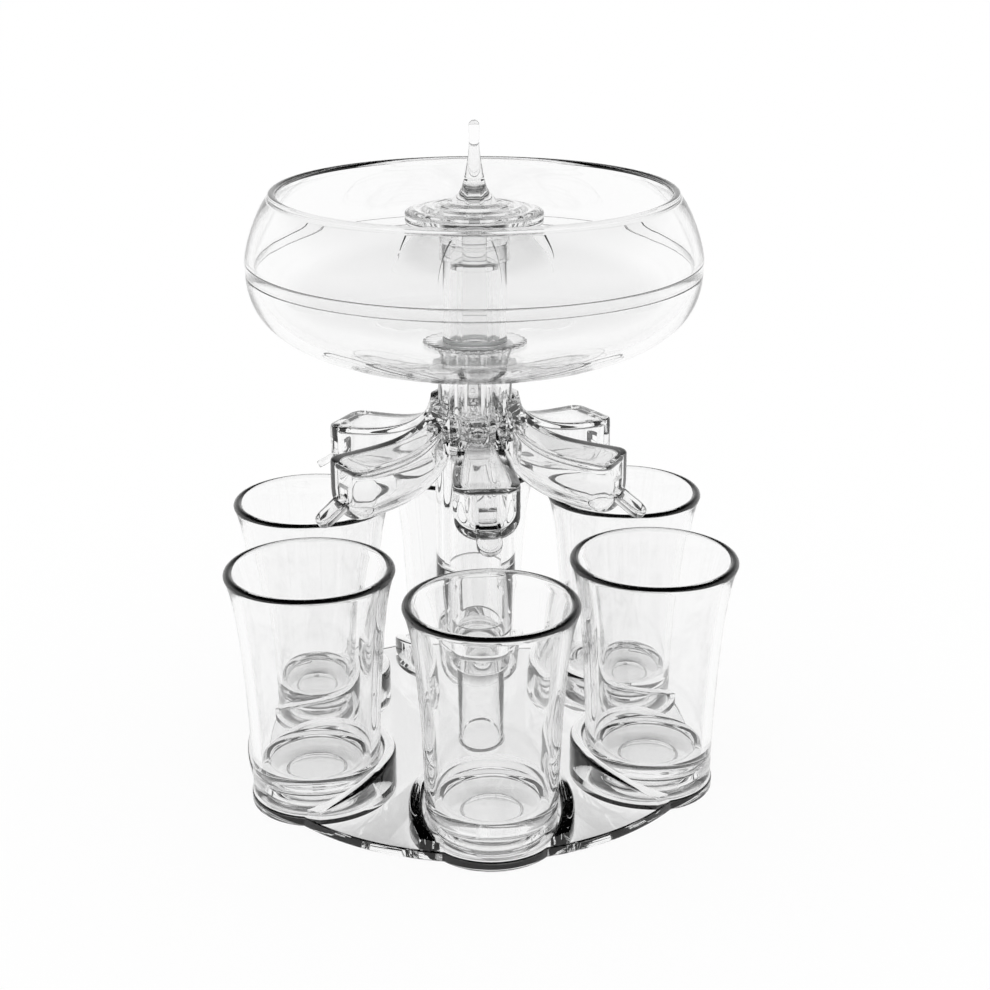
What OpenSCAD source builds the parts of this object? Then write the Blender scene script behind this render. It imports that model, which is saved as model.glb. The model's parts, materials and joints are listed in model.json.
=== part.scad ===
// Party shot dispenser: a clear bowl on a post feeds six leaf-shaped spouts,
// one over each of six shot cups that stand in a round tray.
// Millimetres. Origin at the centre of the tray's underside, +Z up, the first cup towards -Y.

/* [Cups] */
// Distance from the post's axis to each cup's axis
cup_circle_r = 55; // [54:0.5:57]
// Height of a cup
cup_h = 67; // [60:0.5:68]
// Outside radius of a cup's foot
cup_foot_r = 18.1; // [16:0.1:18.4]
// Outside radius of a cup's rim
cup_rim_r = 23.5; // [21:0.1:24.5]
// Wall thickness at a cup's rim
cup_wall = 2.6; // [1.6:0.1:3.2]
// Thickness of a cup's heavy floor
cup_floor = 9.4; // [5:0.1:12]
// Radius of the round recess under a cup's foot
cup_punt_r = 8.6; // [5:0.1:11]

/* [Tray] */
// Radius of the tray's round plate
tray_r = 68.7; // [66:0.1:72]
// Thickness of the tray's plate
tray_t = 3; // [2:0.1:5]
// Height of a seat wall at the back of its cup
seat_wall_h = 12; // [8:0.1:14]
// Thickness of a seat wall
seat_wall_t = 3.7; // [2.5:0.1:4]
// Gap between a cup's foot and its seat wall
seat_gap = 0.8; // [0.6:0.1:1.2]
// Half of the angle that a seat wall leaves open, measured from straight outwards
seat_open_a = 47; // [40:1:60]
// Radius of the long arc that a seat wall's top follows down to its tips
seat_sweep_r = 69; // [60:1:90]
// Outside radius of the tray's thin socket tube
column_r = 9.4; // [9:0.1:10.4]
// Wall of the socket tube
column_wall = 1.2; // [1:0.1:1.6]
// Radius of the fillet where the tube meets the plate
column_flare = 1; // [0.6:0.1:2]

/* [Post] */
// Outside radius of the post
post_r = 11.5; // [11:0.1:12.4]
// Height of the post's lower end, where it rests on the socket tube
post_low_z = 28.5; // [26:0.5:30]
// Height of the joint between the two halves of the post
post_joint_z = 59.5; // [54:0.5:64]
// Wall of the lower post round its bore
post_wall = 2; // [1.6:0.1:2.6]
// Thickness of the lower post's solid bottom
post_floor = 9; // [7:0.1:10]
// Height of the top of the upper post
post_top_z = 96; // [92:0.5:98]
// Length of the upper post's tenon inside the lower post
tenon_l = 18; // [14:0.5:22]
// Wall of the tenon
tenon_wall = 2; // [1.6:0.1:2.6]
// Radius of a bayonet pin
pin_r = 1.5; // [1:0.1:2]
// How far a bayonet pin stands into the bore
pin_l = 1.6; // [1.2:0.1:2.4]
// How far the post twists between locked and free
twist_a = 30; // [20:1:40]
// Chamfer at the edges of the post's joint
joint_chamfer = 0.5; // [0.2:0.1:0.8]

/* [Hub] */
// Outside radius of the hub above the post
hub_r = 10.4; // [10:0.1:11]
// Radius of the chamber inside the hub
chamber_r = 7.6; // [7.2:0.1:7.8]
// Height of the chamber's floor
chamber_z = 96.5; // [96:0.1:96.8]
// Height of the six ports
port_z = 100; // [99.8:0.1:100.4]
// Radius of a port
port_r = 3; // [2.8:0.05:3.1]
// Outside radius of the neck that passes through the bowl's floor
neck_r = 8.9; // [8.8:0.1:9.6]
// Radius of the shoulder under the bowl
shoulder_r = 11; // [10.8:0.1:12]
// Thickness of the shoulder
shoulder_t = 1.6; // [1:0.1:2]
// Outside radius of the clamp nut over its teeth
nut_r = 14.8; // [14:0.1:15.8]
// Thickness of the clamp nut
nut_t = 1.2; // [1:0.1:2]
// Number of teeth round the clamp nut
nut_teeth = 30; // [24:1:36]
// Thickness of the gasket under the bowl
gasket_t = 0.7; // [0.4:0.1:1]

/* [Spouts] */
// Distance from the axis to a spout's end wall
spout_end_r = 43.8; // [42:0.1:45]
// Height of a spout's underside at its end
spout_low_z = 81.2; // [80.6:0.1:84]
// Height of a spout's flat deck at its end
spout_high_z = 97.3; // [95:0.1:99]
// How much higher the deck is at the root
spout_rise = 12.7; // [10:0.1:14]
// How much higher the underside is at the root
spout_drop = 9.4; // [6:0.1:11]
// Half width of a spout at its root
spout_root_w = 4.7; // [3.6:0.1:5]
// Half width of a spout's leaf
spout_leaf_w = 9; // [8:0.1:10]
// Wall of a spout's shell
spout_wall = 2.1; // [1.4:0.1:2.4]
// Half width of the drip lip under a spout's end wall
lip_half_w = 3.4; // [2.8:0.1:4]
// Thickness of the drip lip over its raised edge
lip_t = 2.1; // [1.8:0.1:2.6]
// Width of the drip lip's raised edge
lip_edge = 1; // [0.8:0.1:1.4]
// Distance from the axis to the middle of the lip's round end
lip_r = 49.3; // [48:0.1:51]
// Height of the middle of the lip's round end
lip_z = 84.3; // [83.5:0.1:85]
// Slope of the lip below level
lip_slope = 33; // [28:1:38]

/* [Bowl] */
// Outside radius of the bowl at its widest
bowl_r = 62.66; // [58:0.1:66]
// Height of the bowl's widest place
bowl_waist_z = 149.75; // [146:0.1:154]
// Height of the bowl's underside
bowl_base_z = 119.8; // [119:0.1:121]
// How far the middle of the bowl's floor is sunk below the bowl's own curve
sump_d = 1.3; // [0.4:0.1:2]
// Height of the bowl's rim
bowl_rim_z = 167.9; // [164:0.1:172]
// Outside radius of the bowl's drawn-in rim
bowl_rim_r = 54.47; // [50:0.1:58]
// Wall of the bowl
bowl_wall = 2.4; // [1.8:0.1:3]
// Squareness of the lower half's side, 2 being an ellipse
bowl_low_n = 2.78; // [2:0.02:3.2]
// Squareness of the upper half's side
bowl_high_n = 1.37; // [1.2:0.01:2]
// Height of the lower half's top edge
bowl_lap_z = 149.3; // [148.6:0.1:149.7]
// How far the upper half laps down outside the lower one
bowl_lap = 2.8; // [2:0.1:4]

/* [Valve and fountain] */
// Outside radius of the riser tube
riser_r = 8.8; // [8.4:0.1:9.2]
// Bore radius of the riser tube
riser_bore_r = 6.85; // [6.4:0.05:7]
// Height of the riser tube's top
riser_top_z = 152.6; // [150:0.1:154]
// Thickness of the valve's seal
seal_t = 1.4; // [1:0.1:2]
// Outside radius of the guide tube
guide_r = 5; // [4.6:0.1:5.4]
// Bore radius of the guide tube
guide_bore_r = 3.5; // [3:0.05:3.8]
// Height of the guide tube's top
guide_top_z = 147.2; // [144:0.1:148]
// Thickness of the guide tube's flanges
guide_flange_t = 1.4; // [1:0.1:2]
// Height of the lower end of the valve rod
rod_low_z = 132; // [126:0.5:136]
// Radius of the collar at its top
collar_r = 9.85; // [9.4:0.05:10.6]
// Height of the collar
collar_h = 3.4; // [2.6:0.1:4]
// Outside radius of the collar's skirt
skirt_r = 9.6; // [9.5:0.05:9.8]
// Length of the skirt below the riser's top
skirt_l = 4.2; // [3:0.1:6]
// Distance from the axis to a petal's tip
petal_tip_r = 23.3; // [20:0.1:27]
// How far a petal falls from the collar to its tip
petal_fall = 10; // [7:0.1:12]
// Angle that a petal spans round the axis
petal_a = 48; // [30:1:60]
// Thickness of the petals' ring
petal_t = 0.9; // [0.6:0.1:1.4]
// Radius of the ripple disc
disc_r = 18.95; // [16:0.05:22]
// Height of the ripple disc's underside
disc_z = 158.7; // [158:0.1:160]
// Thickness of the ripple disc at its edge
disc_t = 3.1; // [2.6:0.1:3.6]
// Height of one ripple
ripple_h = 0.4; // [0.2:0.1:0.8]
// Number of ripples
ripples = 3; // [2:1:4]
// Height of the top of the finial's drop
drop_top_z = 186.2; // [182:0.1:190]
// Radius of the drop at the top of the finial
drop_r = 1.42; // [1.2:0.05:2]

/* [Hidden] */
$fn = 96;

clear = [0.90, 0.94, 0.96, 0.35]; // clear moulded plastic
frosty = [0.92, 0.93, 0.93, 0.75]; // pale silicone rubber

fit = 0.06; // radial clearance of a sliding fit
set_gap = 0.05; // radial clearance between parts that are fixed together
over = 1; // how far a cutting tool runs past a face
cups = 6;
front_a = -90; // direction of the first cup

function place_a(i) = front_a + (i - 1) * 360 / cups;
function arc(n) = [for (i = [0:n]) i / n];

// --- cup profile: a slow taper that flares at the rim
cup_taper = (cup_rim_r - cup_foot_r) * 0.72;
cup_flare = (cup_rim_r - cup_foot_r) * 0.28;
function cup_out(t) = cup_foot_r + cup_taper * pow(t, 2) + cup_flare * pow(t, 12);
cup_steps = 14;
foot_groove_z = 0.1 * cup_h;
cup_floor_r = cup_foot_r - 1.35 * cup_wall;

// --- seat
seat_in_r = cup_foot_r + seat_gap;
seat_out_r = seat_in_r + seat_wall_t;
lobe_r = cup_foot_r + 0.4;

// --- post
bore_r = post_r - post_wall;
tenon_r = bore_r - fit;
pin_z = post_joint_z - 8;
spigot_r = column_r - column_wall - fit;
spigot_l = 5;
plug_h = 5;

// --- hub
shoulder_z = bowl_base_z - gasket_t;
bowl_floor_z = bowl_base_z + bowl_wall;
neck_top_z = bowl_floor_z + nut_t;

// --- valve
seal_z = neck_top_z;
riser_z = seal_z + seal_t;
collar_top_z = riser_top_z + collar_h;
petal_ring_z = collar_top_z + petal_t;
rod_r = guide_bore_r - fit;

// A solid from rings of points; every ring has the same number of points
module loft(rings) {
    n = len(rings[0]);
    m = len(rings);
    points = [for (ring = rings) each ring];
    sides = [for (j = [0:m - 2], i = [0:n - 1]) each [
        [j * n + i, (j + 1) * n + (i + 1) % n, j * n + (i + 1) % n],
        [j * n + i, (j + 1) * n + i, (j + 1) * n + (i + 1) % n]]];
    caps = [for (i = [1:n - 2]) each [
        [0, i, i + 1],
        [(m - 1) * n, (m - 1) * n + i + 1, (m - 1) * n + i]]];
    polyhedron(points = points, faces = concat(sides, caps));
}

// A ring round the axis with a rectangular section
module ring(r_out, r_in, z0, z1) {
    translate([0, 0, z0])
        difference() {
            cylinder(r = r_out, h = z1 - z0);
            translate([0, 0, -over])
                cylinder(r = r_in, h = z1 - z0 + 2 * over);
        }
}

/* ---- Tray ---- */

// One seat wall: a C round the foot, open outwards, its top falling along a long arc
module seat_wall() {
    intersection() {
        rotate([0, 0, seat_open_a])
            rotate_extrude(angle = 360 - 2 * seat_open_a)
                seat_section();
        translate([-seat_out_r, seat_out_r + over, tray_t + seat_wall_h - seat_sweep_r])
            rotate([90, 0, 0])
                cylinder(r = seat_sweep_r, h = 2 * (seat_out_r + over), $fn = 180);
    }
}

// The wall's section has a rounded top, as a moulded rib has
module seat_section() {
    top_r = seat_wall_t / 2;
    translate([seat_in_r, tray_t - 0.01])
        square([seat_wall_t, seat_wall_h - top_r + 0.01]);
    translate([seat_in_r + top_r, tray_t + seat_wall_h - top_r])
        circle(r = top_r, $fn = 40);
}

// The thin socket tube stands on the plate and carries the post on its rim
module socket_column() {
    bore = column_r - column_wall;
    rotate_extrude() polygon([
        [bore, tray_t - 0.01],
        for (i = arc(6)) [column_r + column_flare * (1 - sin(90 * i)), tray_t - 0.01 + column_flare * (1 - cos(90 * i))],
        [column_r, post_low_z],
        [bore, post_low_z]]);
}

module base_tray() color(clear) {
    cylinder(r = tray_r, h = tray_t, $fn = 180);
    for (i = [1:cups])
        rotate([0, 0, place_a(i)])
            translate([cup_circle_r, 0, 0])
                cylinder(r = lobe_r, h = tray_t);
    // the walls' tips end at the plate's round edge
    intersection() {
        cylinder(r = tray_r, h = 2 * seat_wall_h, $fn = 180);
        for (i = [1:cups])
            rotate([0, 0, place_a(i)])
                translate([cup_circle_r, 0, 0])
                    seat_wall();
    }
    socket_column();
}

/* ---- Post ---- */

module post_lower() color(clear) {
    difference() {
        rotate_extrude()
            polygon([
                [0, post_low_z - spigot_l],
                [spigot_r - 0.5, post_low_z - spigot_l],
                [spigot_r, post_low_z - spigot_l + 0.5],
                [spigot_r, post_low_z],
                [post_r - 1, post_low_z],
                [post_r, post_low_z + 1],
                [post_r, post_joint_z - joint_chamfer],
                [post_r - joint_chamfer, post_joint_z],
                [0, post_joint_z]]);
        translate([0, 0, post_low_z + post_floor])
            cylinder(r = bore_r, h = post_joint_z);
    }
    for (side = [0, 180])
        rotate([0, 0, side])
            translate([bore_r - pin_l, 0, pin_z])
                rotate([0, 90, 0])
                    cylinder(r = pin_r, h = pin_l + post_wall / 2, $fn = 32);
}

// A window through the tenon's wall, from angle a0 on and between two heights
module tenon_window(a0, span, z0, z1) {
    translate([0, 0, z0])
        rotate([0, 0, a0])
            rotate_extrude(angle = span)
                translate([tenon_r - tenon_wall - over, 0])
                    square([tenon_wall + 2 * over, z1 - z0]);
}

// An L-shaped slot: down from the pin's free place, and round the tenon by the twist
module bayonet_slot() {
    slot_r = pin_r + 0.2;
    end_a = asin(slot_r / (tenon_r - tenon_wall));
    tenon_window(-twist_a - end_a, twist_a + 2 * end_a, pin_z - slot_r, pin_z + slot_r);
    tenon_window(-twist_a - end_a, 2 * end_a, post_joint_z - tenon_l - over, pin_z);
}

module post_upper() color(clear) difference() {
    rotate_extrude()
        polygon([
            [tenon_r - tenon_wall, post_joint_z - tenon_l],
            [tenon_r - joint_chamfer, post_joint_z - tenon_l],
            [tenon_r, post_joint_z - tenon_l + joint_chamfer],
            [tenon_r, post_joint_z],
            [post_r - joint_chamfer, post_joint_z],
            [post_r, post_joint_z + joint_chamfer],
            [post_r, post_top_z],
            [tenon_r - tenon_wall, post_top_z]]);
    for (side = [0, 180])
        rotate([0, 0, side])
            bayonet_slot();
}

/* ---- Hub and spouts ---- */

module distributor_hub() color(clear) difference() {
    rotate_extrude()
        polygon([
            [0, post_top_z - plug_h],
            [tenon_r - tenon_wall - set_gap, post_top_z - plug_h],
            [tenon_r - tenon_wall - set_gap, post_top_z],
            [post_r, post_top_z],
            [post_r, port_z + port_r],
            [hub_r, port_z + port_r + 1],
            [hub_r, shoulder_z - shoulder_t - (shoulder_r - hub_r) / 2],
            [shoulder_r, shoulder_z - shoulder_t],
            [shoulder_r, shoulder_z],
            [neck_r, shoulder_z],
            [neck_r, neck_top_z - 0.3],
            [neck_r - 0.3, neck_top_z],
            [chamber_r, neck_top_z],
            [chamber_r, chamber_z],
            [0, chamber_z]]);
    for (i = [1:cups])
        rotate([0, 0, place_a(i)])
            translate([chamber_r - 1.3, 0, port_z])
                rotate([0, 90, 0])
                    cylinder(r = port_r, h = post_r, $fn = 48);
}

// The leaf's outline along its length, from its root at the hub to its end wall
spout_root_r = post_r + 0.25;
spout_steps = 15;
leaf_points = 20;
end_round = 3.6;
function spout_x(t, wall) = spout_root_r + t * (spout_end_r - wall - spout_root_r);
function deck_z(x) = spout_high_z
    + spout_rise * (0.71 * exp(-(x - spout_root_r) / 7.3) + 0.29 * exp(-(x - spout_root_r) / 0.7));
function belly_z(x) = spout_low_z + spout_drop * exp(-(x - spout_root_r) / 9);
function swell(x) = sin(90 * min(1, (x - spout_root_r) / (0.86 * (spout_end_r - spout_root_r))));
// How far the rounding of the end wall has cut in
function end_cut(x, wall) =
    end_round * (1 - sqrt(max(0, 1 - pow(max(0, x - (spout_end_r - wall - end_round)) / end_round, 2))));
function leaf_half_w(x, wall) =
    spout_root_w + (spout_leaf_w - spout_root_w) * swell(x) - wall - end_cut(x, wall);
function leaf_top_z(x, wall) = deck_z(x) - wall - 0.15 * end_cut(x, wall);
function leaf_low_z(x, wall) = belly_z(x) + wall + 0.7 * end_cut(x, wall);
function bow(v, n) = sign(v) * pow(abs(v), 2 / n);
// A cross-section: a flat deck with crisp edges over upright sides and a round keel
function leaf_ring(x, wall) = [for (i = [0:leaf_points - 1])
    let (a = 360 * i / leaf_points, n = sin(a) > 0 ? 9 : 2.5,
         low = leaf_low_z(x, wall), half_h = (leaf_top_z(x, wall) - low) / 2)
    [x, leaf_half_w(x, wall) * bow(cos(a), n), low + half_h * (1 + bow(sin(a), n))]];
// Steps close up towards both ends
function leaf_rings(from, wall) = [for (k = arc(spout_steps))
    leaf_ring(spout_x(from + (1 - from) * (1 - cos(180 * k)) / 2, wall), wall)];

module leaf(from, wall) {
    loft(leaf_rings(from, wall));
}

// The drip lip: a sloping tongue with a round end
module along_lip() {
    translate([lip_r, 0, lip_z])
        rotate([0, lip_slope, 0])
            children();
}

module tongue(half_w, length, z0, z1) {
    translate([0, 0, z0])
        linear_extrude(z1 - z0) {
            circle(r = half_w, $fn = 40);
            translate([-length, -half_w])
                square([length, 2 * half_w]);
        }
}

lip_l = 7.6;
outlet_h = 2.3;
spigot_bore_r = port_r - 1;
module spout() color(clear) difference() {
    union() {
        leaf(0, 0);
        along_lip()
            tongue(lip_half_w, lip_l, -lip_t, 0);
        // the spigot that plugs into the hub
        translate([chamber_r + 0.4, 0, port_z])
            rotate([0, 90, 0])
                cylinder(r = port_r - set_gap, h = spout_root_r - chamber_r + over, $fn = 40);
    }
    leaf(0.07, spout_wall);
    // the outlet through the end wall, and the channel along the lip
    along_lip()
        tongue(lip_half_w - lip_edge, lip_l + spout_wall, -lip_t / 2, outlet_h);
    translate([chamber_r - over, 0, port_z])
        rotate([0, 90, 0])
            cylinder(r = spigot_bore_r, h = spout_root_r - chamber_r + 4.4, $fn = 32);
}

module spout_at(i) {
    rotate([0, 0, place_a(i)])
        spout();
}

module clamp_nut() color(clear) difference() {
    tooth_r = nut_r * sin(180 / nut_teeth) * 0.62;
    union() {
        ring(nut_r - tooth_r, neck_r + set_gap, bowl_floor_z, bowl_floor_z + nut_t);
        for (i = [1:nut_teeth])
            rotate([0, 0, i * 360 / nut_teeth])
                translate([nut_r - tooth_r, 0, bowl_floor_z])
                    cylinder(r = tooth_r, h = nut_t, $fn = 24);
    }
    translate([0, 0, bowl_floor_z - over])
        cylinder(r = neck_r + set_gap, h = nut_t + 2 * over);
}

module bowl_seal() color(frosty)
    ring(shoulder_r - 0.2, neck_r + set_gap, shoulder_z, bowl_base_z);

/* ---- Bowl ---- */

low_depth = bowl_waist_z - bowl_base_z - sump_d;
seat_flat_r = 16;
sump_r = 38;
// The floor is level under the nut and rises to the bowl's own curve at the sump's edge
function sump(r) = sump_d * (1 + cos(180 * max(0, min(1, (r - seat_flat_r) / (sump_r - seat_flat_r))))) / 2;
high_rise = bowl_rim_z - bowl_waist_z;
// Points of the lower half's side from the underside up to the waist, shrunk by a wall
function low_side(wall, n) = concat([[seat_flat_r, bowl_base_z + wall]],
    [for (i = [0.14, for (k = arc(n)) 0.17 + 0.83 * k])
        let (r = (bowl_r - wall) * pow(sin(90 * i), 2 / bowl_low_n))
            [r, bowl_waist_z - sump(r) - (low_depth - wall) * pow(max(0, cos(90 * i)), 2 / bowl_low_n)]]);
function high_r(z, wall) = let (a = max(0, (z - bowl_waist_z) / high_rise))
    bowl_rim_r - wall + (bowl_r - bowl_rim_r) * pow(max(0, 1 - pow(a, bowl_high_n)), 1 / bowl_high_n);
function high_side(wall, z0, z1, n) = [for (i = arc(n))
    let (z = z0 + (z1 - z0) * i) [high_r(z, wall), z]];

side_steps = 22;
lap_wall = bowl_wall / 2;
// The bowl's whole section, one wall thick
module bowl_section() {
    lip_r = bowl_wall / 2;
    difference() {
        polygon(concat(
            [[0, bowl_base_z]],
            low_side(0, side_steps),
            high_side(0, bowl_waist_z, bowl_rim_z - lip_r, side_steps),
            [[0, bowl_rim_z - lip_r]]));
        polygon(concat(
            [[0, bowl_floor_z]],
            low_side(bowl_wall, side_steps),
            high_side(bowl_wall, bowl_waist_z, bowl_rim_z + over, side_steps),
            [[0, bowl_rim_z + over]]));
    }
    translate([high_r(bowl_rim_z - lip_r, 0) - lip_r, bowl_rim_z - lip_r])
        circle(r = lip_r, $fn = 32);
}

// Everything inside half the wall at the waist: the lower half's tongue is kept to this
module lap_zone(grow) {
    square([bowl_r - lap_wall + grow, 2 * bowl_rim_z]);
}

module bowl_lower() color(clear) rotate_extrude($fn = 180) difference() {
    intersection() {
        bowl_section();
        union() {
            square([2 * bowl_r, bowl_lap_z - bowl_lap]);
            intersection() {
                square([2 * bowl_r, bowl_lap_z]);
                lap_zone(0);
            }
        }
    }
    square([neck_r + 0.1, bowl_floor_z + over]);
}

module bowl_upper() color(clear) rotate_extrude($fn = 180) difference() {
    bowl_section();
    square([2 * bowl_r, bowl_lap_z - bowl_lap]);
    intersection() {
        square([2 * bowl_r, bowl_lap_z]);
        lap_zone(set_gap);
    }
}

/* ---- Valve and fountain ---- */

module guide_tube() color(clear) rotate_extrude() polygon([
    [guide_bore_r, chamber_z],
    [chamber_r - 0.1, chamber_z],
    [chamber_r - 0.1, chamber_z + 0.5],
    [guide_r, chamber_z + guide_flange_t + 1],
    [guide_r, guide_top_z - guide_flange_t],
    [riser_bore_r - fit, guide_top_z - guide_flange_t],
    [riser_bore_r - fit, guide_top_z],
    [guide_bore_r, guide_top_z]]);

module valve_seal() color(frosty)
    ring(riser_r + 0.3, riser_bore_r + 0.1, seal_z, riser_z);

module riser_tube() color(clear)
    ring(riser_r, riser_bore_r, riser_z, riser_top_z);

module collar() color(clear) rotate_extrude() polygon([
    [rod_r + set_gap, riser_top_z - 1.6],
    [riser_bore_r - set_gap, riser_top_z - 1.6],
    [riser_bore_r - set_gap, riser_top_z],
    [riser_r + set_gap, riser_top_z],
    [riser_r + set_gap, riser_top_z - skirt_l],
    [skirt_r, riser_top_z - skirt_l],
    for (i = arc(6)) [skirt_r + (collar_r - skirt_r) * (1 - cos(90 * i)), riser_top_z + collar_h * sin(90 * i)],
    [rod_r + set_gap, collar_top_z]]);

// A petal's arc falls away from level at the collar to steep at its tip
petal_steps = 10;
petal_turn = 37.5;
petal_inset = 0.12; // keeps a petal's root inside the height of its ring
function petal_curve(lift) = [for (i = arc(petal_steps))
    [collar_r - 1 + (petal_tip_r - collar_r + 1) * sin(90 * i * 0.93) / sin(90 * 0.93),
     collar_top_z + lift - petal_fall * (1 - cos(90 * i * 0.93)) / (1 - cos(90 * 0.93))]];
function back(list) = [for (i = [len(list) - 1:-1:0]) list[i]];

module petal_canopy() color(clear) {
    ring(collar_r, rod_r + set_gap, collar_top_z, petal_ring_z);
    for (side = [0:3])
        rotate([0, 0, petal_turn + 90 * side - petal_a / 2])
            rotate_extrude(angle = petal_a)
                polygon(concat(petal_curve(petal_inset), back(petal_curve(petal_t - petal_inset))));
}

shank_r = 1.9;
rod_top_z = petal_ring_z + 0.6;
shank_z = rod_top_z + 2;
module valve_rod() color(clear)
    translate([0, 0, rod_low_z])
        cylinder(r = rod_r, h = rod_top_z - rod_low_z);

// The disc's top: ripples that fall from the foot of a cone, as where a drop has just struck
cone_r = 6.7;
cone_low_z = 164.3;
cone_top_z = 169.9;
cone_top_r = 3.05;
disc_top_z = disc_z + disc_t;
ripple_out_r = disc_r - 0.6;
function ripple_z(t) = disc_top_z + (cone_low_z - 0.4 - disc_top_z) * t + ripple_h * (1 - cos(360 * ripples * t)) / 2;
ripple_steps = 24;
function cone_curve() = [for (i = arc(10))
    [cone_top_r + (cone_r - cone_top_r) * pow(1 - i, 1.78), cone_low_z + (cone_top_z - cone_low_z) * i]];
// The boss under the disc stands on the petals' ring, over the rod's end
boss_low_r = 8.3;
boss_r = 10.2;
groove_z = disc_z + disc_t / 2;

module ripple_disc() color(clear) rotate_extrude() difference() {
    polygon(concat(
        [[0, rod_top_z], [rod_r + set_gap, rod_top_z], [rod_r + set_gap, petal_ring_z],
         [boss_low_r, petal_ring_z], [boss_r, disc_z],
         [disc_r - 0.6, disc_z], [disc_r, disc_z + 0.6],
         [disc_r, groove_z - 0.25], [disc_r - 0.4, groove_z], [disc_r, groove_z + 0.25],
         [disc_r, disc_top_z - 0.5]],
        [for (t = arc(ripple_steps)) [ripple_out_r + (cone_r + 0.15 - ripple_out_r) * t, ripple_z(t)]],
        cone_curve(),
        [[0, cone_top_z]]));
    translate([0, shank_z])
        square([shank_r + set_gap, cone_top_z]);
}

// The finial: a tapering stem, drawn thin under a hanging drop
neck_z = drop_top_z - 3.9 * drop_r;
module drop_finial() color(clear) rotate_extrude() {
    intersection() {
        translate([0, drop_top_z - drop_r])
            circle(r = drop_r, $fn = 40);
        square([2 * drop_r, 2 * drop_top_z]);
    }
    polygon(concat(
        [[0, shank_z], [shank_r, shank_z], [shank_r, cone_top_z], [cone_top_r - 0.15, cone_top_z]],
        [for (i = arc(12)) [0.95 * drop_r + (cone_top_r - 0.15 - 0.95 * drop_r) * pow(1 - i, 1.5),
                            cone_top_z + (neck_z - cone_top_z) * i]],
        [[drop_r, drop_top_z - drop_r], [0, drop_top_z - drop_r]]));
}

/* ---- Cups ---- */

module cup_profile() {
    lip = cup_wall / 2;
    difference() {
        union() {
            polygon(concat(
                [[0, 0], [cup_foot_r - 0.6, 0], [cup_foot_r, 0.6]],
                [for (i = arc(cup_steps)) let (t = 0.02 + 0.98 * i)
                    [cup_out(t), t * cup_h - lip * i]],
                [[0, cup_h - lip]]));
            translate([cup_rim_r - lip, cup_h - lip])
                circle(r = lip, $fn = 32);
        }
        // the inside, rounded where it meets the heavy floor
        polygon(concat(
            [[0, cup_floor], [cup_floor_r - 3, cup_floor]],
            [for (i = arc(5)) [cup_floor_r - 3 + 3 * sin(90 * i), cup_floor + 3 * (1 - cos(90 * i))]],
            [for (i = [2:cup_steps]) let (t = 0.12 + 0.88 * i / cup_steps)
                [cup_out(t) - cup_wall, t * cup_h]],
            [[cup_rim_r - cup_wall, cup_h + over], [0, cup_h + over]]));
        // the recess under the foot
        square([cup_punt_r, 1.6]);
        // the shallow groove above the foot
        translate([cup_foot_r + 0.75, foot_groove_z])
            circle(r = 1, $fn = 24);
    }
}

module cup(i) color(clear)
    rotate([0, 0, place_a(i)])
        translate([cup_circle_r, 0, tray_t])
            rotate_extrude()
                cup_profile();

base_tray();
post_lower();
post_upper();
distributor_hub();
spout_at(1);  // spout_1
spout_at(2);  // spout_2
spout_at(3);  // spout_3
spout_at(4);  // spout_4
spout_at(5);  // spout_5
spout_at(6);  // spout_6
clamp_nut();
bowl_seal();
bowl_lower();
bowl_upper();
guide_tube();
valve_seal();
riser_tube();
collar();
petal_canopy();
valve_rod();
ripple_disc();
drop_finial();
cup(1);  // cup_1
cup(2);  // cup_2
cup(3);  // cup_3
cup(4);  // cup_4
cup(5);  // cup_5
cup(6);  // cup_6
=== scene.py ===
"""Party shot dispenser: a clear plastic bowl on a post feeds six leaf-shaped spouts over six shot cups.

Laid out as an add-on. Each operator makes one piece, or a group of like pieces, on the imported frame.
"""
import json
import math

import bmesh
import bpy
from bpy.props import FloatProperty, IntProperty, PointerProperty, StringProperty
from mathutils import Matrix

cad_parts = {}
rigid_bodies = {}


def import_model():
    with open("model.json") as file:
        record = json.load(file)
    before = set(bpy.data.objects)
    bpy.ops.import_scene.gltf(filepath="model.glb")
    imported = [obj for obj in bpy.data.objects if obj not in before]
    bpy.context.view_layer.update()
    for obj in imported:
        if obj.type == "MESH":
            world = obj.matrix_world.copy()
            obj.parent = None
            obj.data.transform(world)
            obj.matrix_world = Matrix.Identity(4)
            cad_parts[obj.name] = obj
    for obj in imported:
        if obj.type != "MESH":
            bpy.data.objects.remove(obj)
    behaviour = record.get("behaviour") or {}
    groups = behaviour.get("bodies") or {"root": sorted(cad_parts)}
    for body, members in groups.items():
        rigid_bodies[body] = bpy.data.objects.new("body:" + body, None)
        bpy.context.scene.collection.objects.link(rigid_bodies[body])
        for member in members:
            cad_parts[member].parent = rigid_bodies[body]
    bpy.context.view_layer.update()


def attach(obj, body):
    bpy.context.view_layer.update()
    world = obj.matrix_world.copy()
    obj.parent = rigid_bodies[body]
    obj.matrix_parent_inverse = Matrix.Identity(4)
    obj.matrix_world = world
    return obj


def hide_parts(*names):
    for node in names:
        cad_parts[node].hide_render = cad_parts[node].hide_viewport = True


bl_info = {
    "name": "Party shot dispenser",
    "version": (1, 0, 0),
    "blender": (4, 5, 0),
    "location": "3D View > Sidebar > Dispenser",
    "description": "Builds a clear drink fountain with six spouts and six shot cups on its packed frame",
    "category": "Object",
}

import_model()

MM = 0.001
CUPS = 6
FRONT = -math.pi / 2  # the first cup stands towards -Y
ROUND = 160  # steps in a full turn of the larger pieces
FINE_ROUND = 96  # steps in a full turn of the smaller pieces
EDGE_ROUND = 240  # steps in a full turn of the tray's plate, the nut's teeth and the petals
BOWL_ROUND = 220  # steps in a full turn of the bowl

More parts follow.
